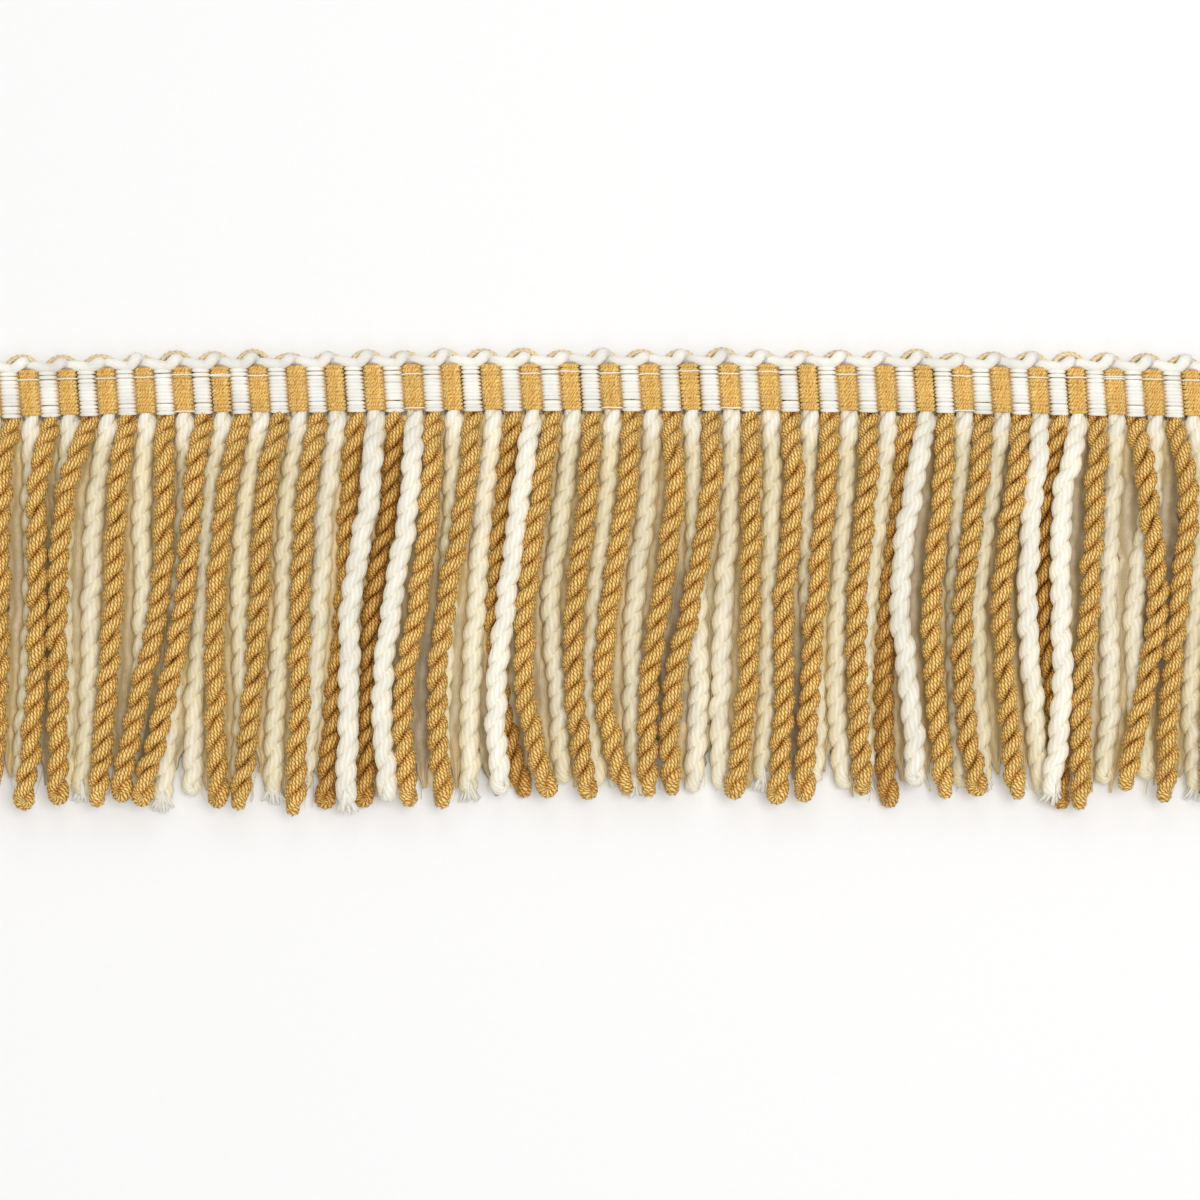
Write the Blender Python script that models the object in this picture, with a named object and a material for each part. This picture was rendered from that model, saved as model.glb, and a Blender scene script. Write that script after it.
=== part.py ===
"""Cord fringe trim: a cut length that lies face up, with its cords spread as they fell.

X runs along the trim, +Y points to its looped upper edge and +Z out of its face.  The
heading is a band woven in alternate cream and gold blocks.  A cream yarn and a gold
yarn loop along its upper edge.  Twisted cords hang from its foot, a gold one under each
cream block and a cream one under each gold block, and they make one comb.

Sizes are in millimetres until make_object writes them into a mesh in metres.
"""
import math

import bmesh
import bpy

MM = 0.001

# The run of the trim.
PAIRS = 33                 # pairs of blocks, cream then gold, from left to right
BLOCK = 3.04               # width of one block and so of one cord's place at the foot
BLOCKS = 2 * PAIRS
HALF_LENGTH = BLOCKS * BLOCK / 2
BOW = 1.25                 # how far the ends of the heading lie below its middle
UNEVEN = 0.6               # how far the weaver's beat drifts along the run
UNEVEN_RUN = 146.0         # one drift to and fro
PIECE_GAP = 0.3

# The woven heading.
HEADING_HEIGHT = 7.1
HEADING_CREST = 2.8        # thickness over a block's middle
HEADING_VALLEY = 2.2       # thickness where two blocks meet

# The yarns that loop along the upper edge.  Loops crest over the gold blocks.
CREAM_LOOP_RADIUS = 0.8
CREAM_LOOP_RISE = 0.9
CREAM_LOOP_HEIGHT = 2.2    # of the yarn's middle above the surface
GOLD_LOOP_RADIUS = 0.5
GOLD_LOOP_RISE = 1.5
GOLD_LOOP_HEIGHT = 0.5
LOOP_STATIONS = 5          # sections for each pair of blocks

# The comb of cords.
COMB_BACK = 2.0            # height of the strip in which the cords still touch
CORD_WIDTH = 2.7
CORD_FLAT = 1.6            # width of a cord's flat top and bottom
ROOT_HEIGHT = 1.5          # of a cord's middle where it leaves the heading
LOW_HEIGHT = 1.35          # of a cord that lies on the surface
LAYER = 3.05               # from a lower cord's middle to that of one that lies over it
CLIMB = 5.0                # drop in which a cord settles into its layer
SECTION_DROPS = (16.0, 30.0, 43.0)
TIP_TAPER = 0.72           # width of the rounded tip against the cord's
TIP_ROUND = 1.0            # length of the rounded tip

# Where each cord lies.  The first four columns are how far it has strayed sideways from
# its own place at 14, 30 and 45 mm below the foot and at its tip.  Then comes the drop of
# its tip below the middle of the foot, and its layer, 0 under and 1 over, in its middle
# and at its tip.  The rows go from left to right.
ROUTE_DROPS = (14.0, 30.0, 45.0)
GOLD_CORDS = (
    # at14  at30  at45   tip  drop  layer  tip layer
    (+0.1, +0.2, 0.0, -0.1, 61.0, 1.0, 1.0),
    (-1.1, -1.3, -1.6, -2.5, 59.4, 1.0, 1.0),
    (-1.6, -1.6, -1.9, -3.8, 62.5, 1.0, 1.0),
    (-3.3, -4.5, -4.4, -4.4, 61.7, 1.0, 1.0),
    (-1.2, -1.8, -2.9, -4.3, 62.0, 1.0, 1.0),
    (+0.2, -0.6, -3.8, -7.1, 61.3, 1.0, 1.0),
    (-1.4, -2.7, -5.5, -9.7, 61.9, 1.0, 1.0),
    (-2.2, -3.7, -3.8, -3.3, 62.2, 1.0, 1.0),
    (-2.0, -2.9, -4.0, -6.1, 62.5, 1.0, 1.0),
    (-1.6, -2.6, -2.6, -3.5, 63.4, 1.0, 1.0),
    (-1.2, -1.8, -3.4, -4.9, 62.5, 0.0, 0.0),
    (-0.9, -3.5, -4.1, -4.8, 62.3, 0.0, 0.0),
    (-0.5, -2.3, -4.7, -3.8, 62.0, 1.0, 1.0),
    (-1.2, -4.1, -5.6, -4.5, 62.3, 1.0, 1.0),
    (-1.4, -2.6, -2.0, +2.0, 60.8, 0.0, 0.0),
    (-2.0, -4.0, -4.1, -0.5, 60.5, 1.0, 1.0),
    (-0.8, -2.7, -2.7, -0.5, 60.8, 1.0, 1.0),
    (-1.0, -3.5, -4.5, -0.8, 60.2, 1.0, 1.0),
    (+0.3, -1.8, -3.8, -3.7, 60.5, 1.0, 1.0),
    (-0.4, -3.3, -6.4, -6.4, 60.3, 1.0, 1.0),
    (-0.2, -0.3, -0.9, -2.9, 60.8, 1.0, 1.0),
    (+0.3, -1.2, -1.2, -2.3, 61.6, 1.0, 1.0),
    (-0.9, -2.3, -3.4, -4.3, 61.3, 1.0, 1.0),
    (-0.6, -2.1, -1.9, -1.1, 60.2, 1.0, 1.0),
    (-1.0, -2.9, -3.7, -3.0, 62.3, 0.0, 0.0),
    (-0.9, -2.5, -1.8, -0.2, 60.8, 1.0, 1.0),
    (-1.6, -3.5, -3.4, -1.2, 60.3, 1.0, 1.0),
    (-1.7, -3.5, -2.6, -1.2, 60.9, 1.0, 1.0),
    (-2.0, -2.5, -0.9, +0.3, 62.5, 0.0, 0.0),
    (-0.9, -1.7, -2.9, -3.2, 62.5, 1.0, 1.0),
    (+1.4, +2.9, +0.6, -2.6, 59.5, 1.0, 1.0),
    (+1.6, +0.1, -1.3, -2.0, 61.3, 1.0, 1.0),
    (+0.8, +0.5, -0.8, -1.5, 61.0, 1.0, 1.0),
)
CREAM_CORDS = (
    # at14  at30  at45   tip  drop  layer  tip layer
    (-0.5, -0.9, -1.4, -2.0, 59.0, 0.0, 0.0),
    (+0.1, +0.3, -0.7, -1.6, 58.0, 0.0, 0.0),
    (-1.0, -1.3, -0.8, -1.1, 59.5, 0.0, 0.0),
    (-2.0, -2.6, -3.0, -4.2, 60.5, 0.0, 0.0),
    (-0.8, -0.5, -1.2, -3.7, 59.0, 0.0, 0.0),
    (+0.3, -0.9, -2.2, -3.7, 61.7, 0.0, 0.0),
    (-2.2, -3.1, -4.3, -4.7, 60.5, 0.0, 0.0),
    (-2.3, -3.2, -2.7, -3.2, 58.5, 0.0, 0.0),
    (-1.7, -2.4, -3.5, -4.1, 60.5, 0.0, 0.0),
    (-1.9, -2.7, -3.9, -5.4, 59.5, 0.0, 0.0),
    (-0.9, -3.7, -4.0, -4.5, 61.9, 1.0, 1.0),
    (-0.6, -3.3, -4.9, -3.9, 61.2, 1.0, 1.0),
    (-0.2, -1.1, -2.0, -2.5, 59.5, 0.0, 0.0),
    (-1.5, -2.6, -3.5, -3.8, 60.3, 0.0, 0.0),
    (-1.9, -4.0, -5.7, -4.9, 60.1, 1.0, 1.0),
    (-1.4, -3.4, -2.2, -1.6, 58.5, 0.0, 0.0),
    (-0.9, -2.6, -3.5, -2.3, 59.0, 0.0, 0.0),
    (-0.8, -2.8, -3.0, -2.5, 59.5, 0.0, 0.0),
    (+0.4, +0.7, +1.0, +0.1, 60.1, 0.0, 0.0),
    (-0.1, -1.2, -1.7, -1.8, 59.5, 0.0, 0.0),
    (+0.2, -0.3, -0.6, -1.4, 58.5, 0.0, 0.0),
    (-0.5, -0.1, +0.7, +0.7, 58.5, 0.0, 0.0),
    (-0.8, -1.6, -2.0, -0.6, 59.4, 0.0, 0.0),
    (-1.4, -3.3, -4.2, -3.6, 58.5, 0.0, 0.0),
    (-2.7, -4.4, -2.8, -1.7, 58.9, 1.0, 1.0),
    (-0.9, -1.4, -1.2, -0.6, 59.0, 0.0, 0.0),
    (-2.0, -4.0, -3.8, -3.0, 58.6, 0.0, 0.0),
    (-1.6, -2.5, -1.4, +0.3, 60.5, 1.0, 0.0),
    (-2.9, -3.2, -3.0, -4.9, 60.5, 1.0, 1.0),
    (-0.9, -1.5, -1.1, -2.3, 58.6, 0.0, 0.0),
    (-0.7, -3.2, -2.8, -1.2, 58.0, 0.0, 0.0),
    (+0.9, 0.0, -0.6, +0.5, 60.0, 0.0, 0.0),
    (+0.1, 0.0, -0.2, -0.1, 59.5, 0.0, 0.0),
)

# The origin is under the middle of the whole piece.
TOP_EDGE = HEADING_HEIGHT + PIECE_GAP + 2 * CREAM_LOOP_RADIUS + CREAM_LOOP_RISE
LOWEST_TIP = max(row[4] for row in GOLD_CORDS + CREAM_CORDS)
CENTRE_SHIFT = (LOWEST_TIP - TOP_EDGE) / 2

CREAM = (0.86, 0.83, 0.74)
GOLD = (0.60, 0.34, 0.09)


def clear_scene():
    """Remove whatever objects the scene holds."""
    for old in list(bpy.data.objects):
        bpy.data.objects.remove(old, do_unlink=True)


def finish(name, colour, roughness):
    """A plain material of one colour."""
    material = bpy.data.materials.new(name)
    material.use_nodes = True
    shader = material.node_tree.nodes["Principled BSDF"]
    shader.inputs["Base Color"].default_value = (*colour, 1.0)
    shader.inputs["Roughness"].default_value = roughness
    shader.inputs["Metallic"].default_value = 0.0
    return material


def make_object(name, mesh_builder, material):
    """Scale a bmesh from millimetres, face it outwards and make it an object."""
    bmesh.ops.scale(mesh_builder, vec=(MM, MM, MM), verts=mesh_builder.verts)
    bmesh.ops.recalc_face_normals(mesh_builder, faces=mesh_builder.faces)
    mesh = bpy.data.meshes.new(name)
    mesh_builder.to_mesh(mesh)
    mesh_builder.free()
    mesh.materials.append(material)
    made = bpy.data.objects.new(name, mesh)
    bpy.context.scene.collection.objects.link(made)
    return made


def foot_y(x):
    """Y of the heading's foot: a shallow arc, highest in the middle."""
    return CENTRE_SHIFT - BOW * (x / HALF_LENGTH) ** 2


def drifted(x):
    """X after the slow drift of the weaver's beat, which dies out at both cut ends."""
    fade = 1.0 - (x / HALF_LENGTH) ** 4
    return x + UNEVEN * fade * math.sin(2 * math.pi * (x - BLOCK) / UNEVEN_RUN)


def block_middle(index):
    """X of the middle of a block, counted from the left cut end."""
    return drifted((index + 0.5) * BLOCK - HALF_LENGTH)


def smooth_step(part):
    """Ease from 0 to 1 with flat ends."""
    part = min(max(part, 0.0), 1.0)
    return part * part * (3.0 - 2.0 * part)


def smooth_through(knots, values, at):
    """Value at one place on a smooth curve through the knots: cubic pieces whose slope
    at each knot is that of the chord between its neighbours."""
    last = len(knots) - 1
    slopes = []
    for i in range(last + 1):
        before, after = max(i - 1, 0), min(i + 1, last)
        slopes.append((values[after] - values[before]) / (knots[after] - knots[before]))
    i = 0
    while i < last - 1 and at > knots[i + 1]:
        i += 1
    span = knots[i + 1] - knots[i]
    t = (at - knots[i]) / span
    return ((2 * t**3 - 3 * t**2 + 1) * values[i]
            + (t**3 - 2 * t**2 + t) * span * slopes[i]
            + (3 * t**2 - 2 * t**3) * values[i + 1]
            + (t**3 - t**2) * span * slopes[i + 1])


def heading_band(material):
    """The woven band: ribbed on its face with a rib for each block, flat on its back."""
    rib_stations = ((0.0, HEADING_VALLEY), (0.3, HEADING_CREST), (0.7, HEADING_CREST))
    columns = [(block + part, height) for block in range(BLOCKS) for part, height in rib_stations]
    columns.append((BLOCKS, HEADING_VALLEY))
    bm = bmesh.new()
    rings = []
    for place, height in columns:
        x = drifted(place * BLOCK - HALF_LENGTH)
        low, high = foot_y(x), foot_y(x) + HEADING_HEIGHT
        corners = ((low, 0.0), (high, 0.0), (high, height), (low, height))
        rings.append([bm.verts.new((x, y, z)) for y, z in corners])
    loft(bm, rings)
    return make_object("heading_band", bm, material)


def loft(bm, rings):
    """Join rings of equal count with quads and close both ends."""
    for near, far in zip(rings, rings[1:]):
        count = len(near)
        for i in range(count):
            j = (i + 1) % count
            bm.faces.new((near[i], near[j], far[j], far[i]))
    bm.faces.new(rings[0])
    bm.faces.new(rings[-1])


def edging_loops(name, radius, rise, height, sides, material):
    """A yarn along the upper edge, which rises and falls once for each pair of blocks."""
    bm = bmesh.new()
    rings = []
    first, last = BLOCK - HALF_LENGTH, HALF_LENGTH - BLOCK
    stations = (PAIRS - 1) * LOOP_STATIONS
    for k in range(stations + 1):
        flat_x = first + (last - first) * k / stations
        x = drifted(flat_x)
        from_gold_middle = (flat_x + HALF_LENGTH - 1.5 * BLOCK) / (2 * BLOCK)
        wave = 0.5 + 0.5 * math.cos(2 * math.pi * from_gold_middle)
        y = foot_y(x) + HEADING_HEIGHT + PIECE_GAP + radius + rise * wave
        ring = []
        for side in range(sides):
            turn = 2 * math.pi * (side + 0.5) / sides
            ring.append(bm.verts.new((x, y + radius * math.cos(turn), height + radius * math.sin(turn))))
        rings.append(ring)
    loft(bm, rings)
    return make_object(name, bm, material)


def cord_sections(index, row):
    """Sections of one cord from the comb's back to its tip, each six points in a plane
    of constant Y: bottom left and right, right side, top right and left, left side."""
    at14, at30, at45, stray_tip, drop, layer, tip_layer = row
    root_x = block_middle(index)
    knots = (COMB_BACK, *ROUTE_DROPS, drop)
    strays = (0.0, at14, at30, at45, stray_tip)
    back_drop = CENTRE_SHIFT - foot_y(root_x) + COMB_BACK
    settling = [back_drop, back_drop + CLIMB / 2, back_drop + CLIMB]
    drops = [*settling, *SECTION_DROPS, drop - TIP_ROUND, drop]
    sections = []
    for here in drops:
        x = root_x + (smooth_through(knots, strays, here) if here > back_drop else 0.0)
        y = CENTRE_SHIFT - here
        turning = smooth_step((here - ROUTE_DROPS[1]) / (drop - ROUTE_DROPS[1]))
        own_layer = layer + (tip_layer - layer) * turning
        settled = LOW_HEIGHT + LAYER * own_layer
        z = ROOT_HEIGHT + (settled - ROOT_HEIGHT) * smooth_step((here - back_drop) / CLIMB)
        width = TIP_TAPER if here == drop else 1.0
        flat, side, half = CORD_FLAT / 2 * width, CORD_WIDTH / 2 * width, CORD_WIDTH / 2 * width
        outline = ((-flat, -half), (flat, -half), (side, 0), (flat, half), (-flat, half), (-side, 0))
        sections.append([(x + dx, y, z + dz) for dx, dz in outline])
    return sections


def fringe_comb(material):
    """All cords as one comb: a thin back under the heading and a tooth for each cord."""
    bm = bmesh.new()
    backs = []
    teeth = []
    for index in range(BLOCKS):
        rows = GOLD_CORDS if index % 2 == 0 else CREAM_CORDS
        sections = cord_sections(index, rows[index // 2])
        rings = [[bm.verts.new(point) for point in section] for section in sections]
        teeth.append(rings)
        upper = []
        for corner in (0, 1, 3, 4):
            x, _, z = sections[0][corner]
            upper.append(bm.verts.new((x, foot_y(x) - PIECE_GAP, z)))
        backs.append(upper)
    for upper, rings in zip(backs, teeth):
        root = rings[0]
        bm.faces.new(upper)
        bm.faces.new((upper[0], upper[1], root[1], root[0]))
        bm.faces.new((upper[2], upper[3], root[4], root[3]))
        for near, far in zip(rings, rings[1:]):
            for i in range(6):
                j = (i + 1) % 6
                bm.faces.new((near[i], near[j], far[j], far[i]))
        bm.faces.new(rings[-1])
    for i in range(BLOCKS - 1):
        left, right = backs[i], backs[i + 1]
        left_root, right_root = teeth[i][0], teeth[i + 1][0]
        bm.faces.new((left[1], right[0], right[3], left[2]))
        bm.faces.new((left[1], right[0], right_root[0], left_root[1]))
        bm.faces.new((left[2], right[3], right_root[4], left_root[3]))
        bm.faces.new((left_root[1], left_root[2], left_root[3], right_root[4], right_root[5], right_root[0]))
    first, first_root = backs[0], teeth[0][0]
    last, last_root = backs[-1], teeth[-1][0]
    bm.faces.new((first[0], first[3], first_root[4], first_root[5], first_root[0]))
    bm.faces.new((last[1], last[2], last_root[3], last_root[2], last_root[1]))
    return make_object("fringe_comb", bm, material)


def build():
    """Make the four pieces."""
    clear_scene()
    heading_band(finish("heading_weave", CREAM, 0.6))
    edging_loops("edging_cream", CREAM_LOOP_RADIUS, CREAM_LOOP_RISE, CREAM_LOOP_HEIGHT, 5,
                 finish("cream_yarn", CREAM, 0.8))
    edging_loops("edging_gold", GOLD_LOOP_RADIUS, GOLD_LOOP_RISE, GOLD_LOOP_HEIGHT, 4,
                 finish("gold_yarn", GOLD, 0.5))
    fringe_comb(finish("gold_cord", GOLD, 0.5))


build()
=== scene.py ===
"""Looks of the cord fringe trim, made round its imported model.

Every yarn is a tube carried along its own path: cords of two plies wound round each
other and looped back at the tip, warp threads that float over and under the blocks of
the heading, and the two yarns that loop along its upper edge.  X runs along the trim,
+Y points to the looped edge and +Z out of its face.  Lengths are in millimetres until
a mesh is written.
"""

import bpy
import numpy as np
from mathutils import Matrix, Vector


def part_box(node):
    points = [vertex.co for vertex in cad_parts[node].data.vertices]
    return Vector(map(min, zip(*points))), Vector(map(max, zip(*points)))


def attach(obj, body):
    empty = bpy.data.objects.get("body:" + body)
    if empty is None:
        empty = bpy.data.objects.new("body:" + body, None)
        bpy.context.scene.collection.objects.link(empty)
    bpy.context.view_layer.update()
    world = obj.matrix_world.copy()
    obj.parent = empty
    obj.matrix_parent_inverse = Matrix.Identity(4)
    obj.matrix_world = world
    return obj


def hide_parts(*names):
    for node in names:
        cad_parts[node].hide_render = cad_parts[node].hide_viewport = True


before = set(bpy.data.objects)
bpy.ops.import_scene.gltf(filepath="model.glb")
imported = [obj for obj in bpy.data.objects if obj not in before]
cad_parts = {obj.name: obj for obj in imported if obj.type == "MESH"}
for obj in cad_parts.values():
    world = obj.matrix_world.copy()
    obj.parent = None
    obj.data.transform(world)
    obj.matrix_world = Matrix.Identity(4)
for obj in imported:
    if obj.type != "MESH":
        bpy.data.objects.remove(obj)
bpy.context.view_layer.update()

MM = 0.001
TURN = 2 * np.pi
Y_AXIS, Z_AXIS = np.eye(3)[1:]

# The run of the trim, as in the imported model.
PAIRS = 33
BLOCK = 3.04
BLOCKS = 2 * PAIRS
HALF_LENGTH = BLOCKS * BLOCK / 2
BOW = 1.25
UNEVEN = 0.6
UNEVEN_RUN = 146.0
HEADING_HEIGHT = 7.1
_, heading_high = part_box("heading_band")
FOOT_MIDDLE = heading_high.y / MM - HEADING_HEIGHT

# Heights above the surface.
CREST = heading_high.z / MM  # of the heading's face over a block's middle
ROOT_HEIGHT = 1.45  # of a cord's middle where it leaves the heading
LOW_HEIGHT = 1.85  # of a cord that lies on the surface
FLOOR_GAP = 0.02  # of a cord pressed flat on the surface
LAYER = 3.1  # from a lower cord's middle to that of one over it
COMB_BACK = 2.0  # drop in which the cords still lie side by side
CLIMB = 6.0  # drop in which a cord settles into its layer
TUCK = 1.4  # how far a cord starts inside the heading

# Where each cord lies.  The first four columns are how far it has strayed sideways from
# its own place at 14, 30 and 45 mm below the foot and at its tip.  Then comes the drop of
# its tip below the middle of the foot, and its layer, 0 under and 1 over, in its middle
# and at its tip.  The rows go from left to right.
ROUTE_DROPS = (14.0, 30.0, 45.0)
GOLD_CORDS = (
    # at14  at30  at45   tip  drop  layer  tip layer
    (+0.1, +0.2, 0.0, -0.1, 61.0, 1, 1),
    (-1.1, -1.3, -1.6, -2.5, 59.4, 1, 1),
    (-1.6, -1.6, -1.9, -3.8, 62.5, 1, 1),
    (-3.3, -4.5, -4.4, -4.4, 61.7, 1, 1),
    (-1.2, -1.8, -2.9, -4.3, 62.0, 1, 1),
    (+0.2, -0.6, -3.8, -7.1, 61.3, 1, 1),
    (-1.4, -2.7, -5.5, -9.7, 61.9, 1, 1),
    (-2.2, -3.7, -3.8, -3.3, 62.2, 1, 1),
    (-2.0, -2.9, -4.0, -6.1, 62.5, 1, 1),
    (-1.6, -2.6, -2.6, -3.5, 63.4, 1, 1),
    (-1.2, -1.8, -3.4, -4.9, 62.5, 0, 0),
    (-0.9, -3.5, -4.1, -4.8, 62.3, 0, 0),
    (-0.5, -2.3, -4.7, -3.8, 62.0, 1, 1),
    (-1.2, -4.1, -5.6, -4.5, 62.3, 1, 1),
    (-1.4, -2.6, -2.0, +2.0, 60.8, 0, 0),
    (-2.0, -4.0, -4.1, -0.5, 60.5, 1, 1),
    (-0.8, -2.7, -2.7, -0.5, 60.8, 1, 1),
    (-1.0, -3.5, -4.5, -0.8, 60.2, 1, 1),
    (+0.3, -1.8, -3.8, -3.7, 60.5, 1, 1),
    (-0.4, -3.3, -6.4, -6.4, 60.3, 1, 1),
    (-0.2, -0.3, -0.9, -2.9, 60.8, 1, 1),
    (+0.3, -1.2, -1.2, -2.3, 61.6, 1, 1),
    (-0.9, -2.3, -3.4, -4.3, 61.3, 1, 1),
    (-0.6, -2.1, -1.9, -1.1, 60.2, 1, 1),
    (-1.0, -2.9, -3.7, -3.0, 62.3, 0, 0),
    (-0.9, -2.5, -1.8, -0.2, 60.8, 1, 1),
    (-1.6, -3.5, -3.4, -1.2, 60.3, 1, 1),
    (-1.7, -3.5, -2.6, -1.2, 60.9, 1, 1),
    (-2.0, -2.5, -0.9, +0.3, 62.5, 0, 0),
    (-0.9, -1.7, -2.9, -3.2, 62.5, 1, 1),
    (+1.4, +2.9, +0.6, -2.6, 59.5, 1, 1),
    (+1.6, +0.1, -1.3, -2.0, 61.3, 1, 1),
    (+0.8, +0.5, -0.8, -1.5, 61.0, 1, 1),
)
CREAM_CORDS = (
    # at14  at30  at45   tip  drop  layer  tip layer
    (-0.5, -0.9, -1.4, -2.0, 59.0, 0, 0),
    (+0.1, +0.3, -0.7, -1.6, 58.0, 0, 0),
    (-1.0, -1.3, -0.8, -1.1, 59.5, 0, 0),
    (-2.0, -2.6, -3.0, -4.2, 60.5, 0, 0),
    (-0.8, -0.5, -1.2, -3.7, 59.0, 0, 0),
    (+0.3, -0.9, -2.2, -3.7, 61.7, 0, 0),
    (-2.2, -3.1, -4.3, -4.7, 60.5, 0, 0),
    (-2.3, -3.2, -2.7, -3.2, 58.5, 0, 0),
    (-1.7, -2.4, -3.5, -4.1, 60.5, 0, 0),
    (-1.9, -2.7, -3.9, -5.4, 59.5, 0, 0),
    (-0.9, -3.7, -4.0, -4.5, 61.9, 1, 1),
    (-0.6, -3.3, -4.9, -3.9, 61.2, 1, 1),
    (-0.2, -1.1, -2.0, -2.5, 59.5, 0, 0),
    (-1.5, -2.6, -3.5, -3.8, 60.3, 0, 0),
    (-1.9, -4.0, -5.7, -4.9, 60.1, 1, 1),
    (-1.4, -3.4, -2.2, -1.6, 58.5, 0, 0),
    (-0.9, -2.6, -3.5, -2.3, 59.0, 0, 0),
    (-0.8, -2.8, -3.0, -2.5, 59.5, 0, 0),
    (+0.4, +0.7, +1.0, +0.1, 60.1, 0, 0),
    (-0.1, -1.2, -1.7, -1.8, 59.5, 0, 0),
    (+0.2, -0.3, -0.6, -1.4, 58.5, 0, 0),
    (-0.5, -0.1, +0.7, +0.7, 58.5, 0, 0),
    (-0.8, -1.6, -2.0, -0.6, 59.4, 0, 0),
    (-1.4, -3.3, -4.2, -3.6, 58.5, 0, 0),
    (-2.7, -4.4, -2.8, -1.7, 58.9, 1, 1),
    (-0.9, -1.4, -1.2, -0.6, 59.0, 0, 0),
    (-2.0, -4.0, -3.8, -3.0, 58.6, 0, 0),
    (-1.6, -2.5, -1.4, +0.3, 60.5, 1, 0),
    (-2.9, -3.2, -3.0, -4.9, 60.5, 1, 1),
    (-0.9, -1.5, -1.1, -2.3, 58.6, 0, 0),
    (-0.7, -3.2, -2.8, -1.2, 58.0, 0, 0),
    (+0.9, 0.0, -0.6, +0.5, 60.0, 0, 0),
    (+0.1, 0.0, -0.2, -0.1, 59.5, 0, 0),
)

# The make of the cords.  A ply's section is an oval, thin outwards and broad sideways.
CORD_MAKES = {
    # lay: length of one turn; wind: radius of a ply's path round the cord's middle;
    # thick and broad: half sizes of a ply; fill: how far the plies fill the groove between
    # them; strands: round a ply; ridge: their relief; slant: turn of the strands round the
    # ply in each mm of it; rows: the rows of points that a line straight across the strands
    # climbs in one turn; row: their spacing.
    "gold": dict(lay=6.72, wind=0.85, thick=0.83, broad=0.90, fill=0.75, strands=8, ridge=0.10,
                 slant=-1.60, rows=7, row=0.50),
    "cream": dict(lay=6.9, wind=0.72, thick=0.90, broad=1.02, fill=1.05, strands=7, ridge=0.055,
                  slant=-1.35, rows=5, row=0.56),
}
WIND_SIZES = (0.96, 1.04)  # how unlike the cords are in thickness
LAY_SIZES = (0.94, 1.06)  # and in lay
# Slow random waves: their length and their size.
SWAY = (12.0, 0.17)  # of a cord sideways
HEAVE = (14.0, 0.07)  # and up and down
LAY_WAVE = (32.0, 0.09)  # of its lay
SIZE_WAVE = (17.0, 0.04)  # of a ply's thickness
FREE = 7.0  # drop from which a cord sways freely
PINCH = (0.74, 0.22, 0.04)  # size at the foot, and what a cord gains at once and slowly
PINCH_START = 0.5  # it begins so far inside the heading
PINCH_SOON = 1.6  # and takes that drop at once
PINCH_LATE = 9.0  # and that one slowly
TIP_REACH = 3.2  # length of the thickened tip
TIP_CLOSE = 0.16  # how much closer its plies lie
TIP_SWELL = 0.17  # and how much thicker they are
FILL_REACH = 2.0  # length at both ends in which grooves aren't filled
CORD_STATIONS = 190
LOOP_STATIONS = 11
POINTS_PER_STRAND = 2
GROOVE_OUT = 0.84  # part of a cord's radius within which the painted shade of its grooves begins
GROOVE_IN = 0.60  # and within which that painted shade is full
GROOVE_SIDE = 0.75  # how much of a groove's painted shade is lost towards the cord's sides
FLANK = 0.45  # how much less painted shade a lower cord's crest takes than its sides
SIDE_SHADE = 0.28  # painted shade on the sides of a cord that nothing covers
COVER_NEAR = 3.0  # sideways reach within which a higher cord covers a lower one, which then takes painted shade
COVER_FAR = 6.5  # and beyond which it doesn't
COVER_BLOCKS = 3  # how many blocks away it may hang
FIBRE_STEPS = 4
# Loose fibres: deep ones lie between the cords, fluff stands off the cream ones.
DEEP = dict(count=26, spread=(0.9, 2.6), heights=(0.5, 1.6), length=12.0, radius=0.07, wander=0.5)
FLUFF = dict(count=36, spread=(1.1, 1.8), heights=(1.5, 3.2), length=2.4, radius=0.022, wander=0.35)
# The cream cords whose tips have come loose, and the threads that fan out of each.
FRAYED_TIPS = np.array([1, 3, 5, 8, 10, 13, 17, 20, 23, 26, 28, 31])
FRAY = dict(count=18, length=3.7, radius=0.30, fan=0.50)
FRAY_START = 3.0  # how far above the tip's end its threads begin
FRAY_HEIGHT = 1.6  # how high they stand over the cord's middle at most
FIBRE_END = 0.35  # size of a fibre's ends against its middle
FRAY_END = 0.75
FIBRE_LENGTHS = (0.6, 1.3)  # against the length given
FIBRE_RATES = (0.4, 1.1)  # waves in a fibre's length
FIBRE_CLEAR = 0.05  # least gap to the surface
# A wisp is a flat band of loose fibre that lies between two cords, tan in part as painted shade for the
# gap.
WISP_BROAD = (1.3, 2.8)  # least and greatest half width
WISP_SHADED = 1.75  # half width from which painted shade begins to darken it
WISP_THICK = 0.16
WISP_HEIGHT = 1.30
WISP_STEP = 1.3
WISP_STRANDS = 8  # round it
WISP_START = 0.6  # drop below the foot at which it begins
WISP_END = 59.0  # and below the foot's middle at which it ends
WISP_UNEVEN = 2.0  # how far the ends stray from that
WISP_TAPER = 9.0  # length over which it thins out
WISP_TIP = 0.12  # what is left of its width there
WISP_SWAY = (15.0, 0.25)  # its slow waves sideways
WISP_HEAVE = (9.0, 0.10)  # up and down
WISP_SWELL = (7.0, 0.2)  # and in width
OPENING = 1.4  # length over which the twist dies out at the tip

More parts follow.
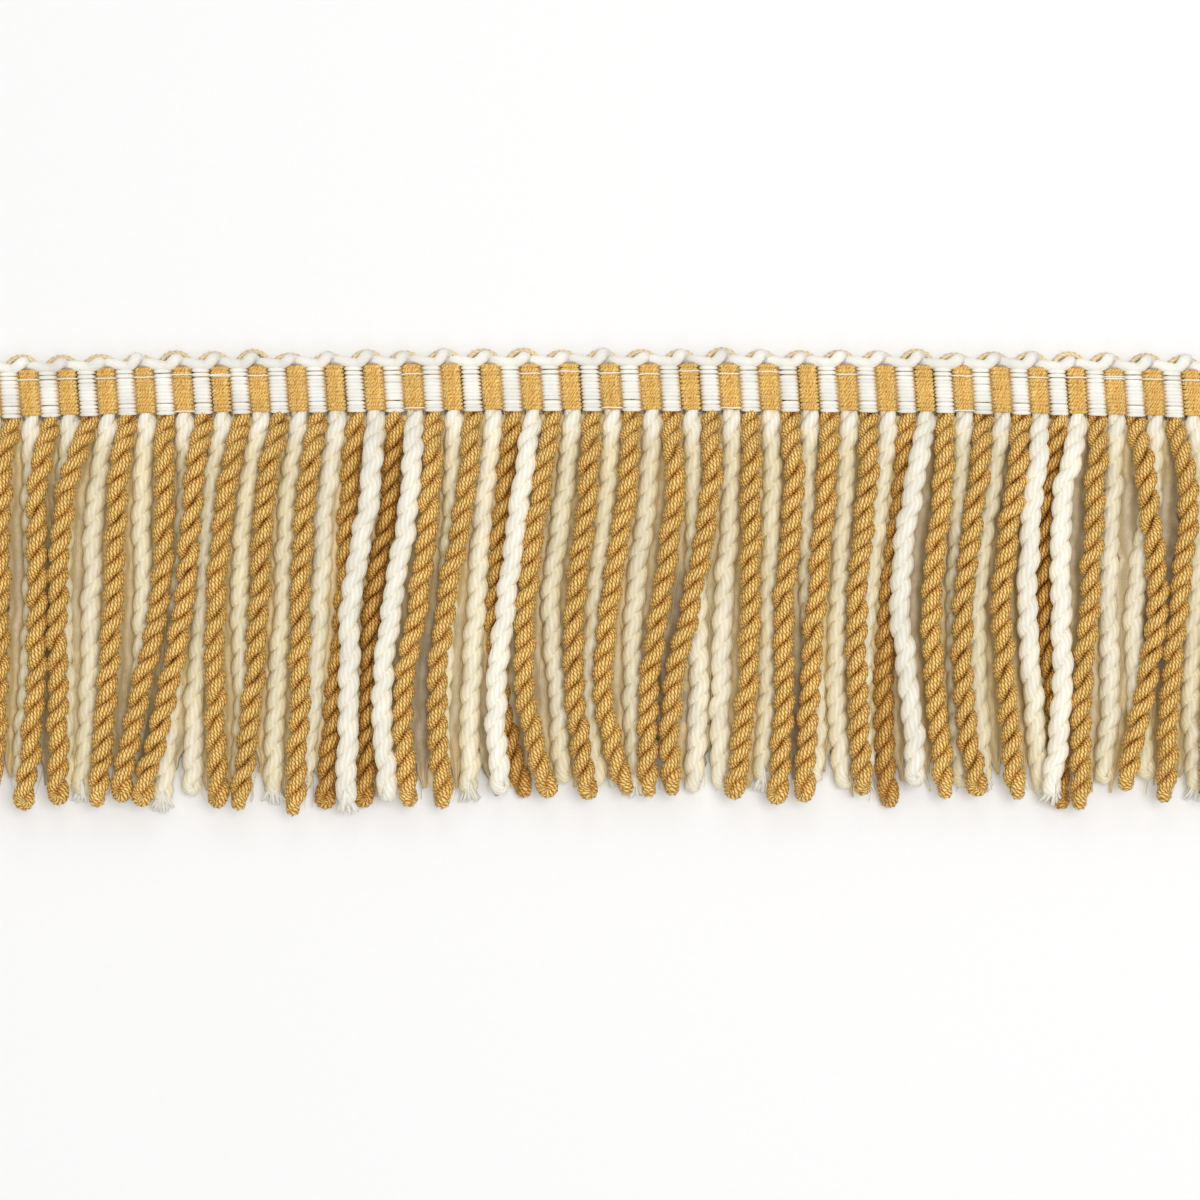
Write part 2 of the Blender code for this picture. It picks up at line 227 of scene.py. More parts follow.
# The weave of the heading.
WARP_ROWS = 12
ROW = HEADING_HEIGHT / WARP_ROWS
FLOAT_THICK = {"cream": 0.11, "gold": 0.13}  # half thickness of a warp thread
FLOAT_BROAD = {"cream": 0.365, "gold": 0.40}  # half width
FLOAT_EDGE = {"cream": 8, "gold": 1.6}  # how late the painted light sets in towards a block's sides
ROWS_APART = {"cream": 0.22, "gold": 0.0}
LOOSE_ROWS = [2, 9, 10]  # the rows with more room, from the foot
FIRST_ROW = 0.25  # of a row, the first one's height above the foot
NARROW = 0.72  # how much a thread narrows where it dives
WARP_SIZES = (0.96, 1.03)  # how unlike the threads are in width
WARP_WAVE = (31.0, 0.035)  # their slow wave up and down the heading
STITCH = dict(radius=0.11, heights=(5.75, 6.05, 0.35), shares=(0.55, 0.2, 0.18), stray=0.05)
STITCH_REACH = 0.6  # half a stitch's length against the block's width
STITCH_STATIONS = 13
STITCH_SUNK = 0.04  # its middle below the heading's face
STITCH_DIVE = 1.1  # and its ends below its middle
STITCH_FLAT = 0.8  # its thickness against its width
STITCH_WAVE = (5.0, 0.03)
STITCH_STEP = 0.3
GROUND_STATIONS = 6  # in each block
GROUND_HALF = (0.3, 0.62)  # half thickness between blocks, and what a rib adds
GROUND_INSET = (0.12, 0.1)  # from the foot and from the upper edge
THREAD_MIDDLE = CREST / 2
BLOCK_STATIONS = 12
FLOAT_STEP = 0.46  # spacing of the points along a warp thread
LEAN = 0.075  # the rows step to the left towards the upper edge

# One loop of each edging yarn, from the middle of a cream block's upper edge.
CREAM_LOOP = (
    # x     y     z    radius
    (-3.7, 0.1, 0.9, 0.55),
    (-3.1, 0.6, 1.2, 0.70),
    (-2.5, 0.80, 1.7, 0.78),
    (-1.5, 0.70, 2.0, 0.80),
    (-0.5, 0.48, 2.1, 0.80),
    (0.5, 0.38, 2.2, 0.80),
    (1.2, 0.60, 2.4, 0.84),
    (1.7, 1.02, 2.5, 0.90),
    (2.15, 1.34, 2.5, 0.98),
    (2.45, 1.25, 2.0, 0.94),
    (2.5, 0.70, 1.2, 0.76),
    (2.35, -0.1, 0.8, 0.55),
    (2.2, -1.0, 0.8, 0.42),
)
GOLD_LOOP = (
    (-0.6, -0.9, 1.1, 0.40),
    (-0.45, 0.4, 1.0, 0.42),
    (0.0, 1.25, 0.9, 0.40),
    (0.85, 1.95, 0.8, 0.42),
    (2.05, 2.2, 0.75, 0.44),
    (3.25, 1.95, 0.8, 0.42),
    (4.1, 1.25, 0.9, 0.40),
    (4.55, 0.4, 1.0, 0.42),
    (4.7, -0.9, 1.1, 0.40),
)
# The make of the edging yarns, named as for the cords.  Stray is how unlike the loops are.
CREAM_EDGE = dict(strands=7, ridge=0.025, slant=0.5, rows=2, row=0.26, stray=0.10)
GOLD_EDGE = dict(strands=3, ridge=0.16, slant=2.6, rows=3, row=0.22, stray=0.07)
EDGE_STATIONS = 60
EDGE_POINTS = 3  # points round the yarn for each strand
EDGE_SIZES = (0.95, 1.05)  # how unlike the loops are in thickness
EDGE_RISE = 1.4  # height above the edge from which a loop strays freely
EDGE_PAST = 0.3  # how far it may stand past the heading's cut end
EDGE_LEAST = 8  # stations under which a cut loop is left out

# The finishes.  Noise mostly lies between the two numbers of NOISE_RANGE.
WHITE = (1.0, 1.0, 1.0)
NOISE_RANGE = (0.3, 0.7)
# Crest colours hold a painted highlight and valley colours painted shade.  Each tint for the stored
# share of painted light is painted shade, but on the gold warp a painted highlight at the blocks' sides;
# the groove colour is painted shade between plies.
FINISHES = {
    "gold_viscose": dict(
        crest=(1.0, 0.755, 0.262), valley=(0.42, 0.130, 0.005), bead=0.50, slope=0.5,
        painted_bead_contrast=0.94, hair=0.35, rough=0.33, gloss=0.6, glint=(1.0, 0.80, 0.42),
        painted_light_tint=(0.68, 0.54, 0.37), groove_painted_shade=(0.72, 0.49, 0.26), bright=0.36, relief=0.8),
    "gold_edging": dict(
        crest=(1.0, 0.84, 0.56), valley=(0.88, 0.64, 0.34), bead=0.5, slope=0.5,
        painted_bead_contrast=0.3, hair=0.35, rough=0.6, gloss=0.5, glint=(1.0, 0.8, 0.5)),
    "cream_cotton": dict(
        crest=(0.955, 0.94, 0.88), valley=(0.875, 0.82, 0.675), bead=1.4, painted_bead_contrast=0.12,
        hair=1.0, sheen=0.15, painted_light_tint=(0.985, 0.90, 0.60), groove_painted_shade=(1.0, 0.97, 0.88), relief=0.6),
    "cream_edging": dict(
        crest=(0.92, 0.90, 0.84), valley=(0.90, 0.87, 0.79), bead=1.6, painted_bead_contrast=0.10,
        hair=0.4, sheen=0.1, relief=0.35),
    "loose_fibre": dict(
        crest=(0.84, 0.68, 0.40), valley=(0.84, 0.68, 0.40), bead=2.0, rough=0.8),
    # The wisps' tan is partly painted shade for the gaps between cords, and their tint darkens broad
    # wisps as painted shade.
    "wisp": dict(
        crest=(0.86, 0.70, 0.41), valley=(0.60, 0.45, 0.20), bead=9.0, slope=0.25,
        painted_bead_contrast=0.5, hair=1.0, gloss=0.1, painted_light_tint=(0.74, 0.77, 0.98)),
    # The gold warp's tint, above 1, is a painted highlight towards the blocks' sides.
    "gold_warp": dict(
        crest=(0.84, 0.49, 0.125), valley=(0.36, 0.135, 0.014), bead=0.42, slope=0.0,
        painted_bead_contrast=0.80, hair=0.9, rough=0.42, gloss=0.5, glint=(1.0, 0.8, 0.45),
        painted_light_tint=(1.25, 1.65, 2.6), bright=0.62, stroke=np.radians(60.0)),
    # The cream warp's tint is painted shade at the ends of its floats.
    "cream_thread": dict(
        crest=(0.91, 0.895, 0.83), valley=(0.88, 0.855, 0.77), bead=1.7, slope=0.0,
        painted_bead_contrast=0.06, hair=0.2, rough=0.6, sheen=0.05, gloss=0.3,
        painted_light_tint=(0.86, 0.64, 0.34), relief=0.2),
    "cream_fray": dict(
        crest=(0.97, 0.94, 0.84), valley=(0.94, 0.90, 0.76), bead=2.0, sheen=0.1),
}
# Beads along a strand, and strokes that run from thread to thread: the noise that shifts
# them, by that part of a bead, and the noise that fades them, to between those heights.
BEADS = dict(shift_noise=(800.0, 1.0), shift=1.2, fade_noise=(1300.0, 1.0), fade=(0.72, 1.22))
STROKES = dict(shift_noise=(1000.0, 2.0), shift=3.2, fade_noise=(1500.0, 1.0), fade=(0.35, 1.3))
HAIR_SPREAD = (1.6, 0.9)  # how dense hairs lie, for each strand and for each mm
HAIR_NOISE = (5.0, 3.0, 0.6)  # scale, detail and roughness
DRIFT_NOISE = (260.0, 2.0)  # slow drift of a yarn's tone
DRIFT = (0.92, 1.06)
TONE = 0.05  # how unlike two yarns are in tone
ROUGH_SPREAD = (-0.06, 0.08)  # of the roughness, from hair to hair
SHEEN_ROUGH = 0.45
RELIEF_SHARES = (0.55, 0.7)  # of beads and of hairs in the fine relief
RELIEF_HEIGHT = 0.11

# The view and the light.
LENS = 100.0
SENSOR = 36.0
VIEW_WIDTH = 187.5
VIEW_HEIGHT = 3.0
VIEW_CENTRE = (-0.44, FOOT_MIDDLE - 29.7)
LIGHTS = (
    # name, place in metres, disk size, power
    ("key", (0.18, 0.06, 0.84), 0.42, 2.95),
    ("upper", (0.0, 0.70, 0.70), 0.50, 0.70),
    ("lower", (0.0, -0.70, 0.70), 0.50, 0.55),
)
SKY = 0.62
SKY_COLOUR = (1.0, 0.99, 0.975, 1.0)
FLOOR_HALF = 1.6  # half the floor's side, in metres

rng = np.random.default_rng(31)


def foot_y(x):
    """Y of the heading's foot: a parabola, highest in the middle."""
    return FOOT_MIDDLE - BOW * (x / HALF_LENGTH) ** 2


def drifted(x):
    """X after the weaver's slow drift: a sine that dies out at both cut ends."""
    fade = 1.0 - (x / HALF_LENGTH) ** 4
    return x + UNEVEN * fade * np.sin(TURN * (x - BLOCK) / UNEVEN_RUN)


def block_middle(index):
    """X of the middle of a block, counted from the left cut end."""
    return drifted((index + 0.5) * BLOCK - HALF_LENGTH)


def smooth_step(part):
    """Ease from 0 to 1: 3 t^2 - 2 t^3."""
    part = np.clip(part, 0.0, 1.0)
    return part * part * (3.0 - 2.0 * part)


def smooth_through(knots, values, at):
    """Cubic pieces through the knots, whose slope at each knot is that of the chord
    between its neighbours.  Values may have several columns."""
    knots = np.asarray(knots, float)
    values = np.asarray(values, float).reshape(len(knots), -1)
    last = len(knots) - 1
    before = np.maximum(np.arange(last + 1) - 1, 0)
    after = np.minimum(np.arange(last + 1) + 1, last)
    slopes = (values[after] - values[before]) / (knots[after] - knots[before])[:, None]
    piece = np.clip(np.searchsorted(knots, at, side="right") - 1, 0, last - 1)
    span = (knots[piece + 1] - knots[piece])[:, None]
    t = (np.asarray(at, float) - knots[piece])[:, None] / span
    return ((2 * t**3 - 3 * t**2 + 1) * values[piece] + (t**3 - 2 * t**2 + t) * span * slopes[piece]
            + (3 * t**2 - 2 * t**3) * values[piece + 1] + (t**3 - t**2) * span * slopes[piece + 1])


def unit(rows):
    """Each row scaled to length 1."""
    return rows / np.linalg.norm(rows, axis=-1, keepdims=True)


def run_length(points):
    """Length along a path at each of its points: the sum of the steps so far."""
    steps = np.linalg.norm(np.diff(points, axis=0), axis=1)
    return np.concatenate(([0.0], np.cumsum(steps)))


def waver(at, length, size):
    """A slow random wave: the sum of three sines of unlike length and random phase."""
    lengths = length * np.array([1.0, 0.61, 0.37])
    phases = rng.uniform(0, TURN, 3)
    return size * np.sin(TURN * at[:, None] / lengths + phases).sum(axis=1) / 1.7


class Yarns:
    """Gathers the skins of yarns and writes them as one mesh."""

    def __init__(self):
        self.points, self.faces, self.maps = [], [], []
        self.tones, self.depths, self.painted_groove_shades = [], [], []
        self.count = 0

    def add(self, points, faces, maps, depth, tone, groove=0.0):
        """Take in one closed skin of triangles, with a map for each corner, each point's share of
        painted light and its share of a groove's painted shade, from 0 to 1, and one tone.  The
        triangles are turned if the skin's signed volume is negative."""
        corner = points[faces] - points.mean(axis=0)
        if np.einsum("ij,ij->", corner[:, 0], np.cross(corner[:, 1], corner[:, 2])) < 0:
            faces, maps = faces[:, ::-1], maps[:, ::-1]
        self.points.append(points)
        self.faces.append(faces + self.count)
        self.maps.append(maps)
        self.tones.append(np.full(len(points), tone))
        self.depths.append(np.broadcast_to(depth, len(points)))
        self.painted_groove_shades.append(np.broadcast_to(groove, len(points)))
        self.count += len(points)

    def write(self, name, material):
        """The finished mesh object, shaded smooth."""
        points = np.concatenate(self.points) * MM
        faces = np.concatenate(self.faces)
        mesh = bpy.data.meshes.new(name)
        mesh.vertices.add(len(points))
        mesh.vertices.foreach_set("co", points.ravel())
        mesh.loops.add(faces.size)
        mesh.loops.foreach_set("vertex_index", faces.ravel())
        mesh.polygons.add(len(faces))
        mesh.polygons.foreach_set("loop_start", np.arange(0, faces.size, 3))
        mesh.polygons.foreach_set("use_smooth", np.ones(len(faces), bool))
        mesh.uv_layers.new(name="yarn").data.foreach_set("uv", np.concatenate(self.maps).ravel())
        # Stored with the points: the tone, the share of painted light, and the share of a groove's
        # painted shade.
        for key, values in (("tone", self.tones), ("depth", self.depths), ("groove", self.painted_groove_shades)):
            mesh.attributes.new(key, "FLOAT", "POINT").data.foreach_set("value", np.concatenate(values))
        mesh.update(calc_edges=True)
        mesh.validate()
        mesh.materials.append(material)
        made = bpy.data.objects.new(name, mesh)
        bpy.context.scene.collection.objects.link(made)
        return made


def squares(grid):
    """The four corners of every cell of a grid, in turn round it."""
    return np.stack([grid[:-1, :-1], grid[:-1, 1:], grid[1:, 1:], grid[1:, :-1]], axis=2)


def halved(cells):
    """Two triangles for each cell of four corners."""
    return np.concatenate([cells[:, [0, 1, 2]], cells[:, [0, 2, 3]]])


def sampled(run, rows, at):
    """Rows of vectors or numbers read at any length along a path, straight between."""
    if rows.ndim == 1:
        return np.interp(at, run, rows)
    return np.stack([np.interp(at, run, column) for column in rows.T], axis=-1)


def skin(path, outward, sideways, thick, broad, row, strands=1, per_strand=8, ridge=0.0, slant=0.0,
         climb=0, depth=None):
    """The skin of a yarn, as points, triangles and their map.

    At length s along the path and angle a round it, the surface is
        path + (1 + relief) (thick cos(a) outward + broad sin(a) sideways).
    One family of grid lines follows the strands, a = 2 pi u / strands + slant s.  The
    other climbs across them by that many rows in a turn, so both meet about squarely.
    The relief is +ridge on a strand's crest and -ridge between two strands.  The map's
    first number is u and its second is s.  Both ends are cut square and closed."""
    run = run_length(path)
    whole = run[-1]
    around = strands * per_strand
    rows = int(np.ceil(whole / row))
    i, j = np.meshgrid(np.arange(-climb, rows + 1), np.arange(around + 1), indexing="ij")
    raw = whole / rows * (i + j * climb / around)
    first, last = raw <= 0.0, raw >= whole * (1.0 - 1e-9)
    free = ~(first | last) & (j < around)
    number = np.where(first, j % around, around + j % around)
    number[free] = 2 * around + np.arange(free.sum())
    wrapped = ~(first | last)[:, around]
    number[:, around][wrapped] = np.roll(number[:, 0], -climb)[wrapped]
    at = np.clip(raw, 0.0, whole)
    points = np.zeros((2 * around + free.sum(), 3))
    angle = TURN * j / around + slant * at
    swell = 1.0 + ridge * np.cos(TURN * j / per_strand)
    out = (sampled(run, thick, at) * np.cos(angle) * swell)[..., None] * sampled(run, outward, at)
    side = (sampled(run, broad, at) * np.sin(angle) * swell)[..., None] * sampled(run, sideways, at)
    surface = sampled(run, path, at) + out + side
    points[number[:, :around]] = surface[:, :around]
    # Each point's share of painted light, read along the path.
    painted_light_amount = np.zeros(len(points))
    if depth is not None:
        painted_light_amount[number[:, :around]] = sampled(run, depth, at)[:, :around]
    place = np.stack([j / per_strand, at], axis=-1)
    faces = halved(squares(number).reshape(-1, 4))
    maps = halved(squares(place).reshape(-1, 4, 2))
    sound = (faces != np.roll(faces, -1, axis=1)).all(axis=1)
    faces, maps = faces[sound], maps[sound]
    fan = np.stack([np.zeros(around - 2, int), np.arange(1, around - 1), np.arange(2, around)], axis=-1)
    faces = np.concatenate([faces, fan[:, ::-1], fan + around])
    maps = np.concatenate([maps, np.zeros((2 * (around - 2), 3, 2))])
    return points, faces, maps, painted_light_amount


def cord_middle(index, reach):
    """Middle line of a cord from inside the heading to where its end loop begins.

    Sideways it is a smooth curve through the table's strays.  Its height eases from that
    of the root into its layer, and from there into its tip's layer."""
    row = (GOLD_CORDS, CREAM_CORDS)[index % 2][index // 2]
    at14, at30, at45, stray_tip, drop, layer, tip_layer = row
    root_x = block_middle(index)
    foot_drop = FOOT_MIDDLE - foot_y(root_x)
    here = np.linspace(foot_drop - TUCK, drop - reach, CORD_STATIONS)
    stray = smooth_through((COMB_BACK, *ROUTE_DROPS, drop), (0.0, at14, at30, at45, stray_tip),
                           np.maximum(here, COMB_BACK))[:, 0]
    late = smooth_step((here - ROUTE_DROPS[1]) / (drop - ROUTE_DROPS[1]))
    settled = LOW_HEIGHT + LAYER * (layer + (tip_layer - layer) * late)
    eased = smooth_step((here - foot_drop - COMB_BACK / 2) / CLIMB)
    height = ROOT_HEIGHT + (settled - ROOT_HEIGHT) * eased
    return np.stack([root_x + stray, FOOT_MIDDLE - here, height], axis=1), here - foot_drop


def cover(middle, index):
    """How far a cord lies under its neighbours, from 0 to 1 at each of its points.

    On either side the cord that covers it most counts: by 1 if that one lies a layer
    higher within COVER_NEAR, and by 0 from COVER_FAR.  The result is the mean of both, and
    it sets how much painted shade the cord takes."""
    sides = np.zeros((2, len(middle)))
    here = np.arange(len(middle))
    for other in range(max(index - COVER_BLOCKS, 0), min(index + COVER_BLOCKS + 1, BLOCKS)):
        if other == index:
            continue
        path, _ = cord_middle(other, 1.0)
        x, z = sampled(-path[:, 1], path[:, [0, 2]], -middle[:, 1]).T
        above = np.clip((z - middle[:, 2]) / LAYER, 0.0, 1.0)
        near = smooth_step((COVER_FAR - np.abs(x - middle[:, 0])) / (COVER_FAR - COVER_NEAR))
        side = (x > middle[:, 0]).astype(int)
        sides[side, here] = np.maximum(sides[side, here], above * near)
    return sides.mean(axis=0)


def pinched(below):
    """Size of a cord against its full one.  It is pinched at the foot, nearly full a
    millimetre below it and full from 9 mm."""
    soon = smooth_step((below + PINCH_START) / PINCH_SOON)
    return PINCH[0] + PINCH[1] * soon + PINCH[2] * smooth_step(below / PINCH_LATE)


def add_cord(yarns, index, make):
    """A bullion cord: one yarn that winds down round the cord's middle line as a screw
    line, turns back in a half circle at the tip, and winds up again on the other side.

    The yarn's own strands run round it the other way, so they lie nearly straight.  The
    plies press into each other: a point at distance r from the middle line is moved out
    to (r^4 + fill^4)^(1/4), which rounds the groove between them.

    Painted shade darkens the groove between the plies, from 0 at GROOVE_OUT of the cord's
    radius to 1 at GROOVE_IN, less towards the sides.  More painted shade darkens a cord that
    lies under others, less on its crest, and a little on the sides of a cord that nothing
    covers."""
    wind_now = make["wind"] * rng.uniform(*WIND_SIZES)
    middle, below = cord_middle(index, wind_now + make["thick"])
    free = smooth_step(below / FREE)
    middle[:, 0] += free * waver(below, *SWAY)
    middle[:, 2] += free * waver(below, *HEAVE)
    along = unit(np.gradient(middle, axis=0))
    across = unit(np.cross(Z_AXIS, along))
    upward = np.cross(along, across)
    run = run_length(middle)
    lay = make["lay"] * rng.uniform(*LAY_SIZES) * (1.0 + waver(run, *LAY_WAVE))
    rate = TURN / lay * smooth_step((run[-1] - run) / OPENING)
    turned = np.cumsum((rate[1:] + rate[:-1]) / 2 * np.diff(run))
    theta = rng.uniform(0, TURN) + np.concatenate(([0.0], turned))
    pinch = pinched(below)
    tip = smooth_step((run - run[-1] + TIP_REACH) / TIP_REACH)
    wind = wind_now * pinch * (1.0 - TIP_CLOSE * tip)
    # Painted shade for lying under higher cords.
    painted_light_amount = cover(middle, index)
    out = np.cos(theta)[:, None] * across + np.sin(theta)[:, None] * upward
    round_it = -np.sin(theta)[:, None] * across + np.cos(theta)[:, None] * upward
    climb = np.arctan(wind * rate)[:, None]
    down_path = middle + wind[:, None] * out
    down_side = round_it * np.cos(climb) - along * np.sin(climb)
    up_path = (middle - wind[:, None] * out)[::-1]
    up_side = (round_it * np.cos(climb) + along * np.sin(climb))[::-1]
    bend = np.linspace(0, np.pi, LOOP_STATIONS + 2)[1:-1, None]
    loop_out = np.cos(bend) * out[-1] + np.sin(bend) * along[-1]
    loop_path = middle[-1] + wind[-1] * loop_out
    loop_side = np.repeat(round_it[-1:], LOOP_STATIONS, axis=0)
    path = np.concatenate([down_path, loop_path, up_path])
    outward = np.concatenate([out, loop_out, -out[::-1]])
    sideways = np.concatenate([down_side, loop_side, up_side])
    size = pinch * (1.0 + TIP_SWELL * tip)
    size = np.concatenate([size, np.full(LOOP_STATIONS, size[-1]), size[::-1]])
    painted_light_amount = np.concatenate([painted_light_amount, np.full(LOOP_STATIONS, painted_light_amount[-1]), painted_light_amount[::-1]])
    size = size * (1.0 + waver(run_length(path), *SIZE_WAVE))
    points, faces, maps, painted_light_amount = skin(path, outward, sideways, make["thick"] * size, make["broad"] * size,
                                     make["row"], make["strands"], POINTS_PER_STRAND, make["ridge"],
                                     make["slant"], make["rows"], painted_light_amount)
    centre = sampled(-middle[:, 1], middle[:, [0, 2]], -points[:, 1])
    offset = points[:, [0, 2]] - centre
    out_by = np.maximum(np.linalg.norm(offset, axis=1), 1e-6)
    full = wind_now + make["thick"]
    beside = smooth_step(np.abs(offset[:, 0]) / full)
    # Painted shade in the groove between the plies, less towards the cord's sides.
    groove = smooth_step((GROOVE_OUT - out_by / full) / (GROOVE_OUT - GROOVE_IN))
    groove *= (1.0 - GROOVE_SIDE * beside) * (points[:, 1] > middle[-1, 1])
    # Painted shade: more on a lower cord's flanks than on its crest, and a little on the sides of a cord
    # that nothing covers.
    painted_light_amount = painted_light_amount * (1.0 - FLANK * (1.0 - beside)) + SIDE_SHADE * beside * (1.0 - painted_light_amount)
    from_ends = np.minimum(points[:, 1] - middle[-1, 1], foot_y(block_middle(index)) - points[:, 1])
    fill = make["fill"] * smooth_step(from_ends / FILL_REACH)
    points[:, [0, 2]] = centre + offset * ((out_by**4 + fill**4) ** 0.25 / out_by)[:, None]
    points[:, 2] = np.maximum(points[:, 2], FLOOR_GAP)
    yarns.add(points, faces, maps, painted_light_amount, rng.uniform(-1, 1), groove)


def make_yarns(name, material, add, indices, **settings):
    """One mesh of what a function adds at each of several cords."""
    yarns = Yarns()
    for index in indices:
        add(yarns, index, **settings)
    return yarns.write(name, material)


def make_cords(colour, first_block, material):
    """All cords of one colour, in two meshes from left to right."""
    halves = np.array_split(np.arange(first_block, BLOCKS, 2), 2)
    return [make_yarns(f"{colour}_cords_{number}", material, add_cord, half, make=CORD_MAKES[colour])
            for number, half in enumerate(halves, 1)]


def add_threads(yarns, paths, radius, end=FIBRE_END):
    """Thin three-sided threads, each along one row of points, narrow at both ends."""
    count, steps, _ = paths.shape
    across = unit(np.cross(Z_AXIS, paths[:, -1] - paths[:, 0]))[:, None]
    corner = TURN * np.arange(3)[:, None] / 3
    offsets = radius * (np.cos(corner) * across + np.sin(corner) * Z_AXIS)
    narrow = np.array([end] + [1.0] * (steps - 2) + [end])
    points = paths[:, :, None] + narrow[:, None, None] * offsets[:, None]
    number = np.arange(count * steps * 3).reshape(count, steps, 3)
    turned = np.roll(number, -1, axis=2)
    cells = np.stack([number[:, :-1], turned[:, :-1], turned[:, 1:], number[:, 1:]], axis=-1)
    faces = np.concatenate([halved(cells.reshape(-1, 4)), number[:, 0, ::-1], number[:, -1]])
    yarns.add(points.reshape(-1, 3), faces, np.zeros((*faces.shape, 2)), 0.0, rng.uniform(-1, 1))


def add_fibres(yarns, index, count, spread, heights, length, radius, wander):
    """Loose fibres along one cord.

    A fibre starts beside the cord's middle line, runs along it and sways sideways and in
    height by slow random sines."""
    middle, _ = cord_middle(index, 1.0)
    run = run_length(middle)
    start = rng.uniform(0.0, run[-1], count)
    own_length = length * rng.uniform(*FIBRE_LENGTHS, count)
    way = rng.choice([-1.0, 1.0], count)
    part = np.linspace(0, 1, FIBRE_STEPS + 1)
    at = start[:, None] + (part - 0.5) * own_length[:, None]
    at = np.clip(at, 0.0, run[-1]) + 0.02 * own_length[:, None] * (part - 1.0)
    path = sampled(run, middle, at)
    side = rng.uniform(*spread, count) * way
    phases = rng.uniform(0, TURN, (2, count, 1))
    rates = rng.uniform(*FIBRE_RATES, (2, count, 1))
    sways = wander * np.sin(phases + TURN * rates * part)
    path[..., 0] += side[:, None] + sways[0]
    path[..., 2] = rng.uniform(*heights, count)[:, None] + 0.4 * sways[1]
    path[..., 2] = np.maximum(path[..., 2], radius + FIBRE_CLEAR)
    add_threads(yarns, path, radius)


def add_fray(yarns, index, count, length, radius, fan):
    """Threads that fan out of a cord's loose tip, within the fan's angle to either side.
    Those near its middle stand highest, and all sink towards their ends."""
    middle, _ = cord_middle(index, FRAY_START)
    part = np.linspace(0, 1, FIBRE_STEPS + 1)
    angle = rng.uniform(-fan, fan, (count, 1)) * (0.5 + 0.5 * part)
    reach = 0.2 + length * rng.uniform(0.85, 1.15, (count, 1)) * part
    stand = rng.uniform(0.2, 1.0, (count, 1)) * FRAY_HEIGHT
    level = middle[-1, 2] + stand * np.cos(angle / fan * 1.2)
    x = middle[-1, 0] + reach * np.sin(angle)
    y = middle[-1, 1] - reach * np.cos(angle)
    z = np.maximum(level * (1.0 - 0.5 * part**3), radius + FIBRE_CLEAR)
    add_threads(yarns, np.stack([x, y, z], axis=-1), radius, FRAY_END)


def add_wisp(yarns, index):
    """A flat wisp of loose fibre half way between a cord and the next one, as broad as
    the space between them and thinned out towards the tips.  Its tan is partly painted
    shade for the gap, and the broader the space, the more painted shade darkens it."""
    left, _ = cord_middle(index, 1.0)
    right, _ = cord_middle(index + 1, 1.0)
    foot_drop = FOOT_MIDDLE - foot_y(block_middle(index))
    end = WISP_END + rng.uniform(-WISP_UNEVEN, WISP_UNEVEN)
    drop = np.arange(foot_drop + WISP_START, end, WISP_STEP)
    y = FOOT_MIDDLE - drop
    left_x, right_x = sampled(-left[:, 1], left[:, 0], -y), sampled(-right[:, 1], right[:, 0], -y)
    x = (left_x + right_x) / 2 + waver(drop, *WISP_SWAY)
    z = WISP_HEIGHT + waver(drop, *WISP_HEAVE)
    path = np.stack([x, y, z], axis=1)
    along, across, upward = frames_along(path)
    taper = WISP_TIP + (1.0 - WISP_TIP) * smooth_step((end - drop) / WISP_TAPER)
    space = np.clip(np.abs(right_x - left_x) / 2, *WISP_BROAD)
    broad = space * (1.0 + waver(drop, *WISP_SWELL)) * taper
    thick = np.full(len(path), WISP_THICK)
    # Painted shade on the broader wisps.
    painted_light_amount = smooth_step((space - WISP_SHADED) / (WISP_BROAD[1] - WISP_SHADED))
    yarns.add(*skin(path, upward, across, thick, broad, WISP_STEP, WISP_STRANDS, 1, depth=painted_light_amount),
              rng.uniform(-1, 1))


def block_wave(x_part):
    """Height of a float over its block, 0 at the block's sides and 1 over its middle:
    1 - |2u|^5, with u from -1/2 to 1/2 across the block."""
    return 1.0 - np.abs(2.0 * x_part) ** 5


def lay_rows(apart):
    """Y of each warp row above the foot.  A few rows stand a little apart, by that part
    of a row."""
    gaps = np.ones(WARP_ROWS)
    gaps[LOOSE_ROWS] += apart
    edges = np.concatenate(([0.0], np.cumsum(gaps)))
    edges *= HEADING_HEIGHT / edges[-1]
    return edges[:-1] + FIRST_ROW * ROW


def add_warp(yarns, height, over_first, thick, broad, edge, tone):
    """A warp thread: it runs along the whole heading and floats over every other block,
    middle + rise * (+-)(1 - |2u|^5), narrowing where it dives between two blocks.  Its
    share of painted light is |2u| to the power of edge: a painted highlight towards the
    sides of the gold blocks and painted shade at the ends of the cream floats."""
    step = np.linspace(-1, 1, BLOCK_STATIONS + 1)[:-1]
    u = 0.5 * np.sin(step * np.pi / 2)
    block = np.repeat(np.arange(BLOCKS), BLOCK_STATIONS)
    u = np.append(np.tile(u, BLOCKS), 0.5)
    block = np.append(block, BLOCKS - 1)
    flat_x = (block + 0.5 + u) * BLOCK - HALF_LENGTH
    side = np.where(block % 2 == (0 if over_first else 1), 1.0, -1.0)
    wave = block_wave(u)
    x = drifted(flat_x)
    y = foot_y(x) + height + waver(flat_x, *WARP_WAVE)
    z = THREAD_MIDDLE + side * wave * (CREST / 2 - thick)
    path = np.stack([x - LEAN * height, y, z], axis=1)
    along = unit(np.gradient(path, axis=0))
    across = unit(np.cross(along, np.broadcast_to(Y_AXIS, along.shape)))
    narrow = 1.0 - NARROW * np.abs(2 * u) ** 5
    yarns.add(*skin(path, across, np.broadcast_to(Y_AXIS, along.shape), thick * np.ones(len(path)),
                    broad * narrow, FLOAT_STEP, per_strand=6, depth=np.abs(2 * u) ** edge), tone)


